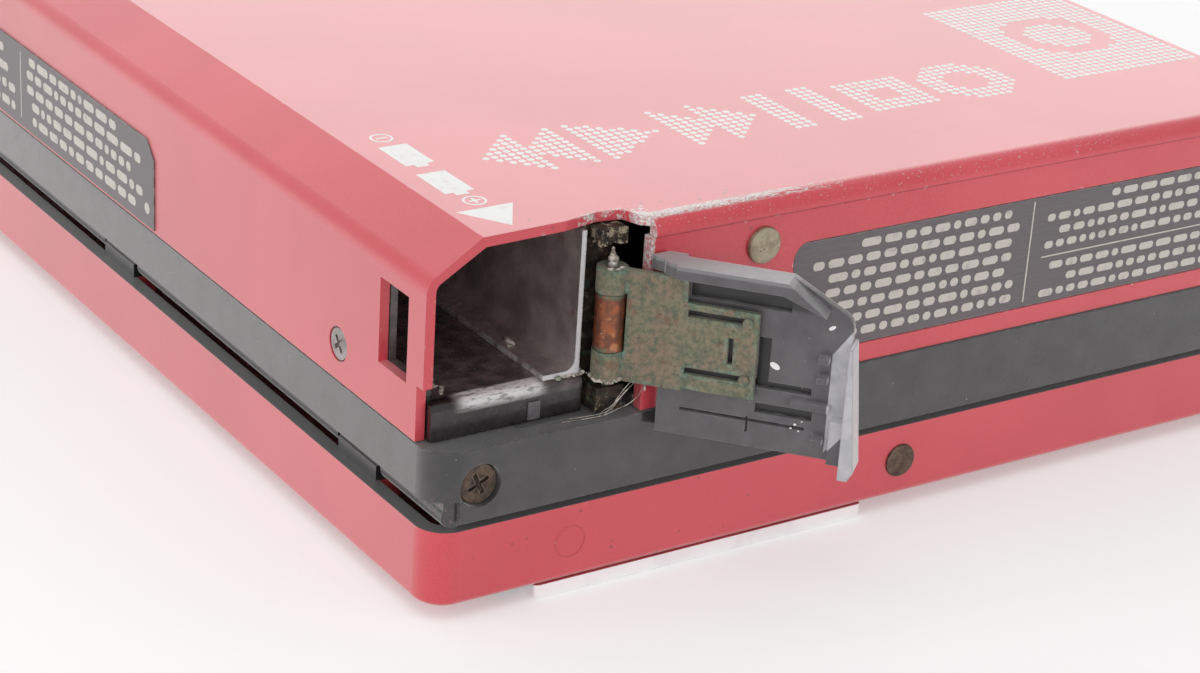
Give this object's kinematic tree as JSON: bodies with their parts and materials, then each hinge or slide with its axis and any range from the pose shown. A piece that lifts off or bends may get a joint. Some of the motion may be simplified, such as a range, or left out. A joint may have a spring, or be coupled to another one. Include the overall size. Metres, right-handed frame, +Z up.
{
  "type": "portable cassette player",
  "caption": "Slim portable cassette player lying on its cassette lid, with its battery door open at one corner.",
  "frame": {"origin": "middle of the case's outline, on the plane that the player rests on", "axes": "+Z up, away from the cassette lid; +Y along the long side, from the end with the battery door; +X from the side with the slot window to the side with the keys"},
  "size_m": [0.0916, 0.1288, 0.0296],
  "materials": {
    "red_paint": "satin metallic crimson paint, worn to bare metal at the front edge",
    "black_gloss": "glossy black plastic",
    "black_plastic": "dark moulded plastic",
    "door_plastic": "dark grey moulded plastic",
    "black_sheet": "blacked sheet with a bright cut edge",
    "chrome": "polished",
    "steel": "plain steel",
    "corroded_brass": "dull, with green corrosion",
    "copper": "bare worn copper",
    "brown_metal": "tarnished brown",
    "aged_metal": "olive-beige oxide",
    "label_black": "black anodised with cream print",
    "clear": "clear acrylic",
    "board": "green laminate",
    "rubber": "matt rubber",
    "white_plastic": "off-white plastic",
    "silver_plastic": "silver finish on plastic"
  },
  "bodies": {
    "case": {"top_shell": "red_paint", "end_panel": "red_paint", "panel_pins": "aged_metal", "end_label": "label_black", "side_label": "label_black", "far_panel": "red_paint", "mid_frame": "black_gloss", "band_screws": "brown_metal", "side_screws": "steel", "chassis_plate": "steel", "battery_tray": "black_plastic", "tray_liner": "black_sheet", "battery_spring": "copper", "hinge_bracket": "corroded_brass", "hinge_pin": "steel", "lid_hinge_rod": "brown_metal", "key_return_spring": "steel", "motor": "steel", "drive_belt": "rubber", "idler_post": "steel", "circuit_board": "board", "board_parts": "black_plastic", "headphone_jack_a": "black_plastic", "headphone_jack_b": "black_plastic", "power_jack": "black_plastic", "volume_shaft": "steel", "tone_switch_body": "steel"},
    "hinge_roller": {"copper_roller": "copper"},
    "door_leaf": {"contact_plate": "corroded_brass"},
    "battery_door": {"battery_door": "door_plastic", "door_rivets": "steel"},
    "cassette_lid": {"cassette_lid": "red_paint", "lid_stud": "brown_metal", "painted_rivet": "red_paint", "chrome_plate": "chrome", "trim_strip": "black_plastic", "window_frame": "black_gloss", "cassette_window": "clear", "pressure_springs": "steel"},
    "rewind_key": {"rewind_key": "silver_plastic"},
    "forward_key": {"forward_key": "silver_plastic"},
    "play_key": {"play_key": "silver_plastic"},
    "stop_key": {"stop_key": "silver_plastic"},
    "lid_release": {"lid_release": "silver_plastic"},
    "volume_wheel": {"volume_wheel": "black_plastic"},
    "tone_switch": {"tone_switch": "silver_plastic"},
    "motor_pulley": {"motor_pulley": "steel"},
    "capstan_flywheel": {"capstan_flywheel": "steel"},
    "idler_wheel": {"idler_wheel": "rubber"},
    "takeup_reel": {"takeup_reel": "white_plastic"},
    "supply_reel": {"supply_reel": "white_plastic"},
    "head_slide": {"head_slide": "steel", "playback_head": "chrome"},
    "pinch_roller": {"pinch_roller": "rubber"}
  },
  "joints": [
    {"name": "door_swing", "type": "hinge", "parent": "hinge_roller", "child": "door_leaf", "pos_m": [-0.0293, -0.0553, 0.02], "axis": [0, 0, 1], "range_deg": [-131.5, 0]},
    {"name": "roller_lift", "type": "slide", "parent": "case", "child": "hinge_roller", "axis": [0, 0, 1], "range_m": [0, 0.0015]},
    {"name": "door_slide", "type": "slide", "parent": "door_leaf", "child": "battery_door", "axis": [0.6626, -0.749, 0], "range_m": [-0.0026, 0]},
    {"name": "lid_hinge", "type": "hinge", "parent": "case", "child": "cassette_lid", "pos_m": [-0.0429, 0, 0.0087], "axis": [0, 1, 0], "range_deg": [0, 55]},
    {"name": "rewind_key_press", "type": "slide", "parent": "case", "child": "rewind_key", "axis": [-1, 0, 0], "range_m": [0, 0.002], "stiffness_N_per_m": 300, "springref_m": -0.001},
    {"name": "forward_key_press", "type": "slide", "parent": "case", "child": "forward_key", "axis": [-1, 0, 0], "range_m": [0, 0.002], "stiffness_N_per_m": 300, "springref_m": -0.001},
    {"name": "play_key_press", "type": "slide", "parent": "case", "child": "play_key", "axis": [-1, 0, 0], "range_m": [0, 0.002], "stiffness_N_per_m": 300, "springref_m": -0.001},
    {"name": "stop_key_press", "type": "slide", "parent": "case", "child": "stop_key", "axis": [-1, 0, 0], "range_m": [0, 0.002], "stiffness_N_per_m": 300, "springref_m": -0.001},
    {"name": "head_advance", "type": "slide", "parent": "case", "child": "head_slide", "axis": [-1, 0, 0], "range_m": [0, 0.003]},
    {"name": "pinch_roller_spin", "type": "hinge", "parent": "head_slide", "child": "pinch_roller", "pos_m": [0.0332, 0.03, 0.009], "axis": [0, 0, 1], "continuous": true},
    {"name": "lid_release_slide", "type": "slide", "parent": "case", "child": "lid_release", "axis": [0, 1, 0], "range_m": [0, 0.0015], "stiffness_N_per_m": 200, "springref_m": -0.001},
    {"name": "volume_turn", "type": "hinge", "parent": "case", "child": "volume_wheel", "pos_m": [0.023, 0.0513, 0.0205], "axis": [0, 0, 1], "range_deg": [-130, 130]},
    {"name": "tone_shift", "type": "slide", "parent": "case", "child": "tone_switch", "axis": [1, 0, 0], "range_m": [-0.0015, 0.0015]},
    {"name": "flywheel_spin", "type": "hinge", "parent": "case", "child": "capstan_flywheel", "pos_m": [0.0255, 0.03, 0.0175], "axis": [0, 0, 1], "continuous": true},
    {"name": "motor_spin", "type": "hinge", "parent": "case", "child": "motor_pulley", "pos_m": [0.029, -0.027, 0.0175], "axis": [0, 0, 1], "continuous": true},
    {"name": "idler_spin", "type": "hinge", "parent": "case", "child": "idler_wheel", "pos_m": [0.01508, 0.02669, 0.02], "axis": [0, 0, 1], "continuous": true},
    {"name": "takeup_spin", "type": "hinge", "parent": "case", "child": "takeup_reel", "pos_m": [-0.002, 0.02125, 0.02], "axis": [0, 0, 1], "continuous": true},
    {"name": "supply_spin", "type": "hinge", "parent": "case", "child": "supply_reel", "pos_m": [-0.002, -0.02125, 0.02], "axis": [0, 0, 1], "continuous": true}
  ],
  "couplings": [
    {"joint": "door_swing", "follows": "door_slide", "rad_per_m": 882.73},
    {"joint": "roller_lift", "follows": "door_slide", "ratio": -0.57692},
    {"joint": "head_advance", "follows": "play_key_press", "ratio": 1.5},
    {"joint": "motor_spin", "follows": "flywheel_spin", "ratio": 4.3182},
    {"joint": "idler_spin", "follows": "flywheel_spin", "ratio": -0.38075},
    {"joint": "takeup_spin", "follows": "flywheel_spin", "ratio": 0.3}
  ]
}
